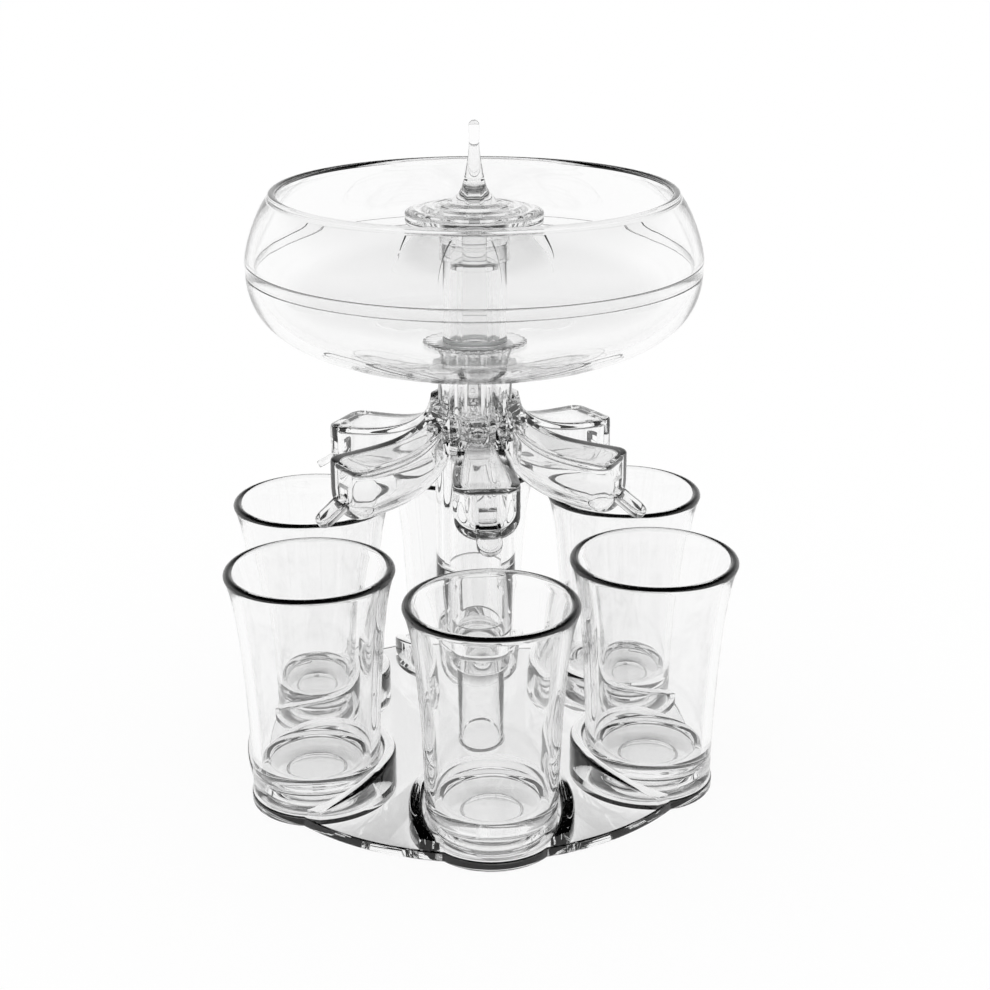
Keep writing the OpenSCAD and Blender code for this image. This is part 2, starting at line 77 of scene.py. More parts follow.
# Fits and hidden sizes, in millimetres
AIR = 0.03  # film of air between two faces that touch: without it clear pieces would merge
CLOSE = 0.05  # gap of a close fit round a neck, a skirt or a plug
SLIDING = 0.06  # gap of a plug or a tube that slides in its bore
WIDE = 0.1  # gap of a loose fit
SUNK = 0.6  # how deep a part is sunk in the one that it is joined to, or the rod in the disc
TENON_INSIDE = 2.06  # sliding gap and wall of the upper post's tenon
PORT = 3  # radius of a port in the hub
SPIGOT = 2.95  # radius of a spout's spigot in its port
SPIGOT_BORE = 2  # radius of the bore through the spigot
ROOT_GAP = 0.25  # gap between a spout's root and the post's side
ROD = 3.44  # radius of the valve rod
ROD_HOLE = 3.49  # radius of the holes that the valve rod passes through
ROD_LOW = 132  # height of the valve rod's lower end
SHANK_HOLE = 1.95  # radius of the hole in the ripple disc for the finial's shank
SHANK = 1.9  # radius of the finial's shank
CONE_TIP = 3.05  # radius of the ripple disc's cone at its top


# ---------------------------------------------------------------- sizes and finishes


def length(name, description, mm):
    """A size that a user may change, in metres, given here in millimetres."""
    return FloatProperty(name=name, description=description, default=mm * MM, unit="LENGTH", precision=5)


class DispenserCupSizes(bpy.types.PropertyGroup):
    circle: length("Cup circle", "Distance from the post's axis to a cup's axis", 55)
    height: length("Height", "Height of a cup", 67)
    foot: length("Foot radius", "Outside radius of a cup's foot", 18.1)
    rim: length("Rim radius", "Outside radius of a cup's rim", 23.5)
    wall: length("Rim wall", "Wall thickness at a cup's rim", 2.6)
    floor: length("Floor", "Thickness of a cup's heavy floor", 9.4)
    punt: length("Recess", "Radius of the recess under the foot", 8.6)


class DispenserTraySizes(bpy.types.PropertyGroup):
    radius: length("Plate radius", "Radius of the tray's round plate", 68.7)
    thick: length("Plate", "Thickness of the plate", 3)
    wall_height: length("Wall height", "Height of a seat wall at the back of its cup", 12)
    wall: length("Wall", "Thickness of a seat wall", 3.7)
    gap: length("Gap", "Gap between a cup's foot and its wall", 0.8)
    sweep: length("Sweep", "Radius of the arc that a wall's top follows", 69)
    column: length("Socket tube", "Outside radius of the thin tube that carries the post", 9.4)
    column_top: length("Socket tube's rim", "Height of the socket tube's rim", 28.5)
    column_wall: length("Socket tube's wall", "Wall of the socket tube", 1.2)
    opening: FloatProperty(name="Opening", description="Half of the angle that a seat wall leaves open",
                           default=math.radians(47), subtype="ANGLE")


class DispenserPostSizes(bpy.types.PropertyGroup):
    radius: length("Radius", "Outside radius of the post", 11.5)
    joint: length("Joint height", "Height of the joint between the post's halves", 59.5)
    wall: length("Wall", "Wall of the lower post", 2)
    top: length("Top", "Height of the post's top", 96)
    tenon: length("Tenon", "Length of the upper post's tenon", 18)
    hub: length("Hub", "Outside radius of the hub above the post", 10.4)
    port: length("Port height", "Height of the hub's six ports", 100)
    shoulder: length("Hub shoulder", "Radius of the hub's shoulder under the bowl", 11)
    chamber: length("Hub chamber", "Radius of the chamber inside the hub", 7.6)
    chamber_floor: length("Chamber floor", "Height of the chamber's floor", 96.5)
    neck: length("Neck", "Radius of the hub's neck through the bowl's floor", 8.9)


class DispenserSpoutSizes(bpy.types.PropertyGroup):
    end: length("End", "Distance from the axis to a spout's end wall", 43.8)
    low: length("Underside", "Height of a spout's underside at its end", 81.2)
    high: length("Deck", "Height of a spout's flat deck at its end", 97.3)
    rise: length("Deck rise", "How much higher the deck is at the root", 12.7)
    drop: length("Underside rise", "How much higher the underside is at the root", 9.4)
    leaf: length("Leaf half width", "Half width of a spout's leaf", 9)
    root: length("Root half width", "Half width of a spout at its root", 4.7)
    wall: length("Wall", "Wall of a spout's shell", 2.1)
    lip: length("Lip half width", "Half width of the drip lip", 3.4)
    lip_thick: length("Lip", "Thickness of the drip lip over its raised edge", 2.1)
    lip_edge: length("Lip edge", "Width of the drip lip's raised edge", 1)
    lip_end: length("Lip end", "Distance from the axis to the middle of the lip's round end", 49.3)
    lip_height: length("Lip height", "Height of the middle of the lip's round end", 84.3)
    lip_slope: FloatProperty(name="Lip slope", description="Slope of the lip below level",
                             default=math.radians(33), subtype="ANGLE")


class DispenserBowlSizes(bpy.types.PropertyGroup):
    radius: length("Radius", "Outside radius of the bowl at its widest", 62.66)
    waist: length("Waist", "Height of the bowl's widest place", 149.75)
    base: length("Base", "Height of the bowl's underside", 119.8)
    rim: length("Rim height", "Height of the bowl's rim", 167.9)
    rim_radius: length("Rim radius", "Outside radius of the bowl's rim", 54.47)
    wall: length("Wall", "Wall of the bowl", 2.4)
    lap: length("Lap", "How far the upper half laps over the lower one", 2.8)
    gasket: length("Gasket", "Thickness of the gasket under the bowl", 0.7)
    nut: length("Clamp nut", "Outside radius of the clamp nut", 14.8)
    nut_thick: length("Clamp nut's plate", "Thickness of the clamp nut", 1.2)


class DispenserFountainSizes(bpy.types.PropertyGroup):
    riser: length("Riser", "Outside radius of the riser tube", 8.8)
    bore: length("Riser bore", "Bore radius of the riser tube", 6.85)
    riser_top: length("Riser top", "Height of the riser's top", 152.6)
    seal: length("Valve seal", "Thickness of the valve's seal", 1.4)
    collar: length("Collar", "Radius of the collar at its top", 9.85)
    collar_high: length("Collar height", "Height of the collar over the riser", 3.4)
    skirt: length("Skirt", "Length of the collar's skirt below the riser's top", 4.2)
    petal: length("Petal reach", "Distance from the axis to a petal's tip", 23.3)
    petal_fall: length("Petal fall", "How far a petal falls from the collar to its tip", 10)
    petal_wall: length("Petal ring", "Thickness of the petals' ring", 0.9)
    disc: length("Ripple disc", "Radius of the ripple disc", 18.95)
    disc_low: length("Disc height", "Height of the ripple disc's underside", 158.7)
    disc_edge: length("Disc edge", "Thickness of the ripple disc at its edge", 3.1)
    ripple: length("Ripple", "Height of one ripple", 0.4)
    cone: length("Cone", "Radius of the cone's foot on the ripple disc", 6.7)
    cone_low: length("Cone foot", "Height of the cone's foot", 164.3)
    cone_top: length("Cone top", "Height of the cone's top, where the finial's stem begins", 169.9)
    drop_top: length("Drop top", "Height of the top of the drop", 186.2)
    ripples: IntProperty(name="Ripples", description="Number of ripples on the disc", default=3, min=2, max=4)


class DispenserFinishes(bpy.types.PropertyGroup):
    acrylic: StringProperty(name="Clear acrylic", description="Tint of the moulded body", default="#FDFDFD")
    styrene: StringProperty(name="Clear styrene", description="Tint of cups and spouts", default="#FCFCFC")
    silicone: StringProperty(name="Silicone", description="Colour of the seals", default="#E4E6E6")
    ground: StringProperty(name="Ground", description="Colour of the floor", default="#FFFFFF")


GROUPS = {
    "dispenser_cup": DispenserCupSizes,
    "dispenser_tray": DispenserTraySizes,
    "dispenser_post": DispenserPostSizes,
    "dispenser_spout": DispenserSpoutSizes,
    "dispenser_bowl": DispenserBowlSizes,
    "dispenser_fountain": DispenserFountainSizes,
    "dispenser_finish": DispenserFinishes,
}


# ---------------------------------------------------------------- small tools


def linear(code):
    """An sRGB hex value as the linear colour that a shader takes."""
    parts = [int(code[i:i + 2], 16) / 255 for i in (1, 3, 5)]
    return [c / 12.92 if c <= 0.04045 else ((c + 0.055) / 1.055) ** 2.4 for c in parts] + [1.0]


def steps(n):
    """n + 1 even fractions from 0 to 1."""
    return [i / n for i in range(n + 1)]


def lip_round(r, z, lip):
    """Points of the half round over a rim, from its outside to its inside, without the two ends."""
    return [(r + lip * math.cos(math.pi * k), z + lip * math.sin(math.pi * k)) for k in steps(14)][1:-1]


def node(tree, kind, settings=None, **links):
    """Adds one node: settings go to its attributes or inputs, links join its inputs to other sockets."""
    made = tree.nodes.new(kind)
    for key, value in (settings or {}).items():
        if key in made.inputs:
            made.inputs[key].default_value = value
        else:
            setattr(made, key, value)
    for key, socket in links.items():
        tree.links.new(socket, made.inputs[key.replace("_", " ")])
    return made


def either(tree, path, *kinds):
    """A socket that is 1 for a ray of any of these kinds, and otherwise 0."""
    found = path.outputs[f"Is {kinds[0]} Ray"]
    for kind in kinds[1:]:
        more = node(tree, "ShaderNodeMath", {"operation": "MAXIMUM"})
        tree.links.new(found, more.inputs[0])
        tree.links.new(path.outputs[f"Is {kind} Ray"], more.inputs[1])
        found = more.outputs[0]
    return found


def mixed(tree, share, first, second):
    """Mixes two shaders by a share and makes the mix the material's surface."""
    mix = node(tree, "ShaderNodeMixShader", None, Fac=share)
    tree.links.new(first.outputs[0], mix.inputs[1])
    tree.links.new(second.outputs[0], mix.inputs[2])
    node(tree, "ShaderNodeOutputMaterial", None, Surface=mix.outputs[0])


def turn_of(i):
    """The turn about Z that brings a piece made along +X to the i-th cup's direction."""
    return Matrix.Rotation(FRONT + i * math.tau / CUPS, 4, "Z")


def finish_mesh(bm, name, place=None, sharp=38):
    """Closes, orients and shades a mesh, and links it to the scene as an object at the origin."""
    bmesh.ops.remove_doubles(bm, verts=bm.verts, dist=2e-6)
    bmesh.ops.recalc_face_normals(bm, faces=bm.faces)
    if place:
        bmesh.ops.transform(bm, matrix=place, verts=bm.verts)
    mesh = bpy.data.meshes.new(name)
    bm.to_mesh(mesh)
    bm.free()
    mesh.polygons.foreach_set("use_smooth", [True] * len(mesh.polygons))
    mesh.set_sharp_from_angle(angle=math.radians(sharp))
    piece = bpy.data.objects.new(name, mesh)
    bpy.context.collection.objects.link(piece)
    return piece


def dress(piece, body, slot, material, *nodes):
    """Gives a piece its material and its body, and hides the frame's nodes that it stands for. The slot is
    not used.
    """
    piece.data.materials.clear()
    piece.data.materials.append(material)
    piece.data.polygons.foreach_set("material_index", [0] * len(piece.data.polygons))
    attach(piece, body)
    if nodes:
        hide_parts(*nodes)


def turned(outline, rounds=None, around=ROUND, angle=math.tau, start=0.0):
    """A bmesh turned about Z from a section of (radius, height) corners in millimetres.

    rounds maps a corner's number to the radius of its rounding."""
    bm = bmesh.new()
    corners = [bm.verts.new((r * MM, 0, z * MM)) for r, z in outline]
    bm.faces.new(corners)
    for size in sorted(set((rounds or {}).values())):
        picked = [corners[i] for i, r in rounds.items() if r == size]
        bmesh.ops.bevel(bm, geom=picked, offset=size * MM, offset_type="OFFSET", affect="VERTICES",
                        segments=5, profile=0.5, material=-1)
    if angle > math.tau - 1e-6:
        bmesh.ops.delete(bm, geom=bm.faces[:], context="FACES_ONLY")
        axis = [e for e in bm.edges if all(abs(v.co.x) < 1e-9 for v in e.verts)]
        bmesh.ops.delete(bm, geom=axis, context="EDGES")
        bmesh.ops.spin(bm, geom=bm.verts[:] + bm.edges[:], cent=(0, 0, 0), axis=(0, 0, 1), angle=math.tau,
                       steps=around, use_merge=True, use_duplicate=False)
    else:
        count = max(8, round(around * angle / math.tau))
        bmesh.ops.rotate(bm, verts=bm.verts, cent=(0, 0, 0), matrix=Matrix.Rotation(start, 3, "Z"))
        bmesh.ops.spin(bm, geom=bm.faces[:], cent=(0, 0, 0), axis=(0, 0, 1), angle=angle, steps=count,
                       use_merge=False, use_duplicate=False)
    return bm


def rod(radius, height, place, segments=48):
    """A bmesh cylinder that stands on its own origin and is then placed. Used as a cutter or a spigot."""
    bm = bmesh.new()
    bmesh.ops.create_cone(bm, cap_ends=True, segments=segments, radius1=radius, radius2=radius, depth=height,
                          matrix=place @ Matrix.Translation((0, 0, height / 2)))
    return bm


def combined(first, others, operation, name):
    """A boolean of one piece with several bmeshes, worked out at once and left as a plain mesh."""
    body = finish_mesh(first, name)
    holder = bpy.data.collections.new(name + "_tools")
    bpy.context.scene.collection.children.link(holder)
    for other in others:
        tool = finish_mesh(other, name + "_tool")
        bpy.context.collection.objects.unlink(tool)
        holder.objects.link(tool)
    cut = body.modifiers.new("cut", "BOOLEAN")
    cut.operation, cut.solver = operation, "EXACT"
    cut.operand_type, cut.collection = "COLLECTION", holder
    graph = bpy.context.evaluated_depsgraph_get()
    mesh = bpy.data.meshes.new_from_object(body.evaluated_get(graph))
    bm = bmesh.new()
    bm.from_mesh(mesh)
    for tool in list(holder.objects) + [body]:
        old = tool.data
        bpy.data.objects.remove(tool)
        bpy.data.meshes.remove(old)
    bpy.data.collections.remove(holder)
    bpy.data.meshes.remove(mesh)
    return bm


# ---------------------------------------------------------------- materials


def clear_plastic(name, tint, ior, roughness, ripple, ripple_mm):
    """A polished, see-through moulding. Lamps shine through it, so that it shades the ground only faintly."""
    material = bpy.data.materials.new(name)
    material.use_nodes = True
    tree = material.node_tree
    tree.nodes.clear()
    coordinates = node(tree, "ShaderNodeTexCoord")
    # Moulded walls are never quite flat: a slow ripple a few millimetres long bends what is seen through them
    wave = node(tree, "ShaderNodeTexNoise", {"Scale": 1 / (ripple_mm * MM), "Detail": 1.0},
                Vector=coordinates.outputs["Object"])
    bump = node(tree, "ShaderNodeBump", {"Strength": ripple, "Distance": 0.05 * MM},
                Height=wave.outputs["Fac"])
    shell = node(tree, "ShaderNodeBsdfPrincipled",
                 {"Base Color": linear(tint), "Roughness": roughness, "IOR": ior, "Transmission Weight": 1.0},
                 Normal=bump.outputs["Normal"])
    light = node(tree, "ShaderNodeLightPath")
    passing = node(tree, "ShaderNodeBsdfTransparent", {"Color": (0.97, 0.97, 0.97, 1)})
    mixed(tree, light.outputs["Is Shadow Ray"], shell, passing)
    return material


def acrylic():
    """The material of every clear piece but the cups and the spouts."""
    return material_of("Acrylic moulded clear")


def styrene():
    """The material of the cups and the spouts."""
    return material_of("Styrene moulded clear")


def silicone():
    """The material of the valve's seal and the bowl's gasket."""
    return material_of("Silicone moulded pale")


def material_of(key):
    """The material of that name, made on first use."""
    finish = bpy.context.scene.dispenser_finish
    if key in bpy.data.materials:
        return bpy.data.materials[key]
    if key == "Acrylic moulded clear":
        # PMMA, injection moulded and polished by the mould: water clear, sharp edges go dark
        return clear_plastic(key, finish.acrylic, 1.49, 0.0, 0.25, 9)
    if key == "Styrene moulded clear":
        # Crystal polystyrene, thick walled: bends light more than acrylic, with slow sink marks
        return clear_plastic(key, finish.styrene, 1.59, 0.0, 0.35, 7)
    if key == "Silicone moulded pale":
        # Translucent silicone rubber: cloudy, satin, lets light in a little way
        material = bpy.data.materials.new(key)
        material.use_nodes = True
        tree = material.node_tree
        shell = tree.nodes["Principled BSDF"]
        shell.inputs["Base Color"].default_value = linear(finish.silicone)
        shell.inputs["IOR"].default_value = 1.41
        shell.inputs["Roughness"].default_value = 0.35
        shell.inputs["Transmission Weight"].default_value = 0.6
        return material
    raise KeyError(key)


# ---------------------------------------------------------------- operators


class DISPENSER_OT_tray(bpy.types.Operator):
    """Round tray with six seat walls and the thin socket tube that carries the post"""
    bl_idname = "dispenser.tray"
    bl_label = "Tray"

    def execute(self, context):
        t, c = context.scene.dispenser_tray, context.scene.dispenser_cup
        radius, thick = t.radius / MM, t.thick / MM
        sunk = thick - SUNK
        plate = turned([(0, 0), (radius, 0), (radius, thick), (0, thick)], {1: 0.5, 2: 0.5}, EDGE_ROUND)
        inner = c.foot / MM + t.gap / MM
        outer = inner + t.wall / MM
        high = thick + t.wall_height / MM
        lobe = c.foot / MM + 0.4  # under each cup the plate swells a little past the cup's foot
        to_seat = turn_of(0) @ Matrix.Translation((c.circle, 0, 0))
        disc = turned([(0, 0), (lobe, 0), (lobe, thick), (0, thick)], {1: 0.5, 2: 0.5}, ROUND)
        bmesh.ops.transform(disc, matrix=to_seat, verts=disc.verts)
        wall = turned([(inner, sunk), (outer, sunk), (outer, high), (inner, high)],
                      {2: 1.5, 3: 1.5}, ROUND, math.tau - 2 * t.opening, t.opening)
        # the top falls along a long arc from the back of the wall to its tips
        for v in wall.verts:
            along = v.co.x + outer * MM
            arc = t.sweep - math.sqrt(max(0.0, t.sweep ** 2 - along ** 2))
            share = (v.co.z - thick * MM) / t.wall_height
            if share > 0:
                v.co.z = thick * MM + share * max(0.2 * MM, t.wall_height - arc)
        bmesh.ops.transform(wall, matrix=to_seat, verts=wall.verts)
        # a broad ring cuts off what stands out past the plate's edge
        near, far, under, over = radius - 0.35, radius + 12, thick - 2, high + 2
        edge = turned([(near, under), (far, under), (far, over), (near, over)], None, EDGE_ROUND)
        wall = combined(wall, [edge], "DIFFERENCE", "seat_wall")
        parts = []
        for i in range(CUPS):
            turn = Matrix.Rotation(i * math.tau / CUPS, 3, "Z")
            for part in (disc, wall):
                copy = part.copy()
                bmesh.ops.rotate(copy, verts=copy.verts, cent=(0, 0, 0), matrix=turn)
                parts.append(copy)
        disc.free()
        wall.free()
        column, hollow, top = t.column / MM, (t.column - t.column_wall) / MM, t.column_top / MM
        foot = column + 1
        fillet = [(foot - math.sin(math.pi / 2 * k), thick + 1 - math.cos(math.pi / 2 * k)) for k in steps(6)]
        socket = [(hollow, sunk), (foot, sunk)] + fillet + [(column, top), (hollow, top)]
        parts.append(turned(socket, {9: 0.3, 10: 0.3}, FINE_ROUND))
        tray = combined(plate, parts, "UNION", "tray_whole")
        piece = finish_mesh(tray, "seat_tray")
        dress(piece, "base", "clear_body", acrylic(), "base_tray")
        return {"FINISHED"}


class DISPENSER_OT_post(bpy.types.Operator):
    """The post's two halves with their bayonet joint"""
    bl_idname = "dispenser.post"
    bl_label = "Post"

    def execute(self, context):
        p, t = context.scene.dispenser_post, context.scene.dispenser_tray
        radius, joint, bore = p.radius / MM, p.joint / MM, (p.radius - p.wall) / MM
        low, plug = t.column_top / MM, (t.column - t.column_wall) / MM - SLIDING
        end, floor = low - 5, low + 9
        lower = turned([(0, end), (plug, end), (plug, low + AIR), (radius, low + AIR), (radius, joint - AIR),
                        (bore, joint - AIR), (bore, floor), (0, floor)],
                       {1: 0.5, 3: 1.0, 4: 0.3, 5: 0.25, 6: 1.2}, FINE_ROUND)
        # two bayonet pins stand inwards, 8 mm below the joint
        pins = []
        for side in (0, math.pi):
            inward = (p.radius - p.wall - 1.6 * MM, 0, p.joint - 8 * MM)
            out = Matrix.Rotation(side, 4, "Z") @ Matrix.Translation(inward)
            pins.append(rod(1.5 * MM, 2.6 * MM, out @ Matrix.Rotation(math.pi / 2, 4, "Y"), 32))
        whole = combined(lower, pins, "UNION", "post_lower_whole")
        piece = finish_mesh(whole, "post_socket_half")
        dress(piece, "base", "clear_body", acrylic(), "post_lower")

        tenon, inside, end = bore - SLIDING, bore - TENON_INSIDE, joint - p.tenon / MM
        upper = turned([(inside, end), (tenon, end), (tenon, joint), (radius, joint), (radius, p.top / MM),
                        (inside, p.top / MM)],
                       {0: 0.3, 1: 0.5, 3: 0.3, 4: 0.2}, FINE_ROUND)
        # an L-shaped slot for each pin: the level way that the pin turns along, then the upright way in
        slots = []
        for side in (0, math.pi):
            for start, span, z0, z1 in ((-44, 58, joint - 9.7, joint - 6.3), (-44, 27, end - 1, joint - 8)):
                window = turned([(inside - 1, z0), (tenon + 1, z0), (tenon + 1, z1), (inside - 1, z1)], None,
                                FINE_ROUND, math.radians(span), math.radians(start) + side)
                slots.append(window)
        cut = combined(upper, slots, "DIFFERENCE", "post_upper_cut")
        piece = finish_mesh(cut, "post_tenon_half")
        dress(piece, "dispenser", "clear_body", acrylic(), "post_upper")
        return {"FINISHED"}


class DISPENSER_OT_hub(bpy.types.Operator):
    """The hub with its six ports, and the neck that passes through the bowl's floor"""
    bl_idname = "dispenser.hub"
    bl_label = "Hub"

    def execute(self, context):
        p, b = context.scene.dispenser_post, context.scene.dispenser_bowl
        top, chamber, radius = p.top / MM, p.chamber / MM, p.radius / MM
        inside = (p.radius - p.wall) / MM - TENON_INSIDE - CLOSE
        hub_side, port, floor = p.hub / MM, p.port / MM, p.chamber_floor / MM
        seat = (b.base - b.gasket) / MM
        neck_top = (b.base + b.wall + b.nut_thick) / MM
        shoulder, neck = p.shoulder / MM, p.neck / MM
        shoulder_low = seat - 1.6
        hub = turned([(0, top - 5), (inside, top - 5), (inside, top + AIR), (radius, top + AIR),
                      (radius, port + PORT), (hub_side, port + PORT + 1),
                      (hub_side, shoulder_low - (shoulder - hub_side) / 2), (shoulder, shoulder_low),
                      (shoulder, seat), (neck, seat), (neck, neck_top), (chamber, neck_top), (chamber, floor),
                      (0, floor)],
                     {1: 0.4, 3: 0.2, 7: 0.3, 8: 0.3, 10: 0.3, 11: 0.2, 12: 0.3}, FINE_ROUND)
        ports = []
        for i in range(CUPS):
            out = (turn_of(i) @ Matrix.Translation((p.chamber - 1.3 * MM, 0, p.port))
                   @ Matrix.Rotation(math.pi / 2, 4, "Y"))
            ports.append(rod(PORT * MM, 8 * MM, out, 40))
        piece = finish_mesh(combined(hub, ports, "DIFFERENCE", "hub_ported"), "spout_hub")
        dress(piece, "dispenser", "clear_body", acrylic(), "distributor_hub")
        return {"FINISHED"}


class DISPENSER_OT_spouts(bpy.types.Operator):
    """Six hollow leaf-shaped spouts, each with a drip lip under its outlet"""
    bl_idname = "dispenser.spouts"
    bl_label = "Spouts"

    def section(self, s, root, at, wall):
        """Half width, top and underside of the leaf at a distance from the axis, in millimetres.

        Inside the wall the same section is used, drawn in by the wall's thickness."""
        end, rounding, far = s.end / MM, 3.6, at - root
        deck = s.high / MM + s.rise / MM * (0.71 * math.exp(-far / 7.3) + 0.29 * math.exp(-far / 0.7))
        belly = s.low / MM + s.drop / MM * math.exp(-far / 9)
        swell = math.sin(math.pi / 2 * min(1.0, far / (0.86 * (end - root))))
        past = min(1.0, max(0.0, at - (end - wall - rounding)) / rounding)
        cut = rounding * (1 - math.sqrt(1 - past ** 2))
        half = s.root / MM + (s.leaf - s.root) / MM * swell - wall - cut
        return half, deck - wall - 0.15 * cut, belly + wall + 0.7 * cut

    def leaf(self, s, root, start, wall, stations=36, around=80):
        """A closed leaf: rings of a circle, each moved to its section and bridged to the one before.

        start is the share of the length that the leaf leaves out at its root."""
        bm = bmesh.new()
        end = s.end / MM - wall
        before = None
        for k in steps(stations):
            at = root + (end - root) * (start + (1 - start) * (1 - math.cos(math.pi * k)) / 2)
            half, high, low = self.section(s, root, at, wall)
            ring = bmesh.ops.create_circle(bm, cap_ends=k in (0.0, 1.0), segments=around, radius=1.0)["verts"]
            for v in ring:
                # a flat deck with crisp edges over upright sides, and a round keel
                squareness = 18 if v.co.y > 0 else 2.5
                across = math.copysign(abs(v.co.x) ** (2 / squareness), v.co.x)
                up = math.copysign(abs(v.co.y) ** (2 / squareness), v.co.y)
                v.co = (at * MM, half * across * MM, (low + (high - low) * (1 + up) / 2) * MM)
            edges = [e for e in bm.edges if e.verts[0] in ring and e.verts[1] in ring]
            if before:
                bmesh.ops.bridge_loops(bm, edges=before + edges)
            before = edges
        return bm

    def tongue(self, s, half, back, low, high, edge=0.0):
        """A plate with one round end, which slopes down along the drip lip. Lengths in metres."""
        bm = bmesh.new()
        turns = [math.pi * (k - 0.5) for k in steps(28)]
        round_end = [(half * math.cos(turn), half * math.sin(turn)) for turn in turns]
        corners = [bm.verts.new((x, y, low)) for x, y in [(-back, half), (-back, -half)] + round_end]
        grown = bmesh.ops.extrude_face_region(bm, geom=[bm.faces.new(corners)])["geom"]
        raised = [v for v in grown if isinstance(v, bmesh.types.BMVert)]
        bmesh.ops.translate(bm, verts=raised, vec=(0, 0, high - low))
        if edge:
            level = [e for e in bm.edges if abs(e.verts[0].co.z - e.verts[1].co.z) < 1e-9]
            bmesh.ops.bevel(bm, geom=level, offset=edge, offset_type="OFFSET", affect="EDGES", segments=3,
                            profile=0.5, material=-1)
        slope = Matrix.Translation((s.lip_end, 0, s.lip_height)) @ Matrix.Rotation(s.lip_slope, 4, "Y")
        bmesh.ops.transform(bm, matrix=slope, verts=bm.verts)
        return bm

    def execute(self, context):
        s, p = context.scene.dispenser_spout, context.scene.dispenser_post
        root = p.radius / MM + ROOT_GAP
        back = 7.6 * MM  # how far the drip lip reaches back under the leaf
        along_port = Matrix.Rotation(math.pi / 2, 4, "Y")
        from_port = Matrix.Translation((p.chamber + 0.4 * MM, 0, p.port)) @ along_port
        from_chamber = Matrix.Translation((p.chamber - MM, 0, p.port)) @ along_port
        spigot = rod(SPIGOT * MM, root * MM + MM - p.chamber, from_port)
        bore = rod(SPIGOT_BORE * MM, root * MM + 4.4 * MM - p.chamber, from_chamber)
        lip = self.tongue(s, s.lip, back, -s.lip_thick, 0, 0.3 * MM)
        outlet = self.tongue(s, s.lip - s.lip_edge, back + s.wall, -s.lip_thick / 2, 2.3 * MM)
        solid = combined(self.leaf(s, root, 0, 0), [lip, spigot], "UNION", "spout_solid")
        hollow = self.leaf(s, root, 0.07, s.wall / MM)
        shell = combined(solid, [hollow, outlet, bore], "DIFFERENCE", "spout_shell")
        for i in range(CUPS):
            piece = finish_mesh(shell.copy(), f"leaf_spout_{i + 1}", turn_of(i))
            dress(piece, "dispenser", "clear_spout", styrene(), f"spout_{i + 1}")
        shell.free()
        return {"FINISHED"}


class DISPENSER_OT_clamp(bpy.types.Operator):
    """The toothed clamp nut on the bowl's floor and the gasket under it"""
    bl_idname = "dispenser.clamp"
    bl_label = "Clamp nut and gasket"
    teeth = 30
    half_depth = 0.45 * MM  # half the depth of a rounded tooth
    inside_teeth = 12.5 * MM  # nothing nearer to the axis is moved

    def execute(self, context):
        p, b = context.scene.dispenser_post, context.scene.dispenser_bowl
        floor, tooth_tip = (b.base + b.wall) / MM + AIR, b.nut / MM
        top = floor - AIR + b.nut_thick / MM
        neck = p.neck / MM + CLOSE
        bm = turned([(neck, floor), (tooth_tip, floor), (tooth_tip, top), (neck, top)],
                    {1: 0.2, 2: 0.3, 3: 0.3}, EDGE_ROUND)
        for v in bm.verts:
            out = math.hypot(v.co.x, v.co.y)
            if out > self.inside_teeth:
                turn = math.atan2(v.co.y, v.co.x)
                pull = 1 - self.half_depth * (1 - math.cos(self.teeth * turn)) / out
                v.co.x, v.co.y = v.co.x * pull, v.co.y * pull
        piece = finish_mesh(bm, "bowl_clamp_nut")
        dress(piece, "dispenser", "clear_fountain", acrylic(), "clamp_nut")

        seat, edge, base = (b.base - b.gasket) / MM + AIR, p.shoulder / MM - 0.2, b.base / MM - AIR
        bm = turned([(neck, seat), (edge, seat), (edge, base), (neck, base)], {1: 0.3, 2: 0.3}, FINE_ROUND)
        piece = finish_mesh(bm, "bowl_gasket")
        dress(piece, "dispenser", "silicone", silicone(), "bowl_seal")
        return {"FINISHED"}


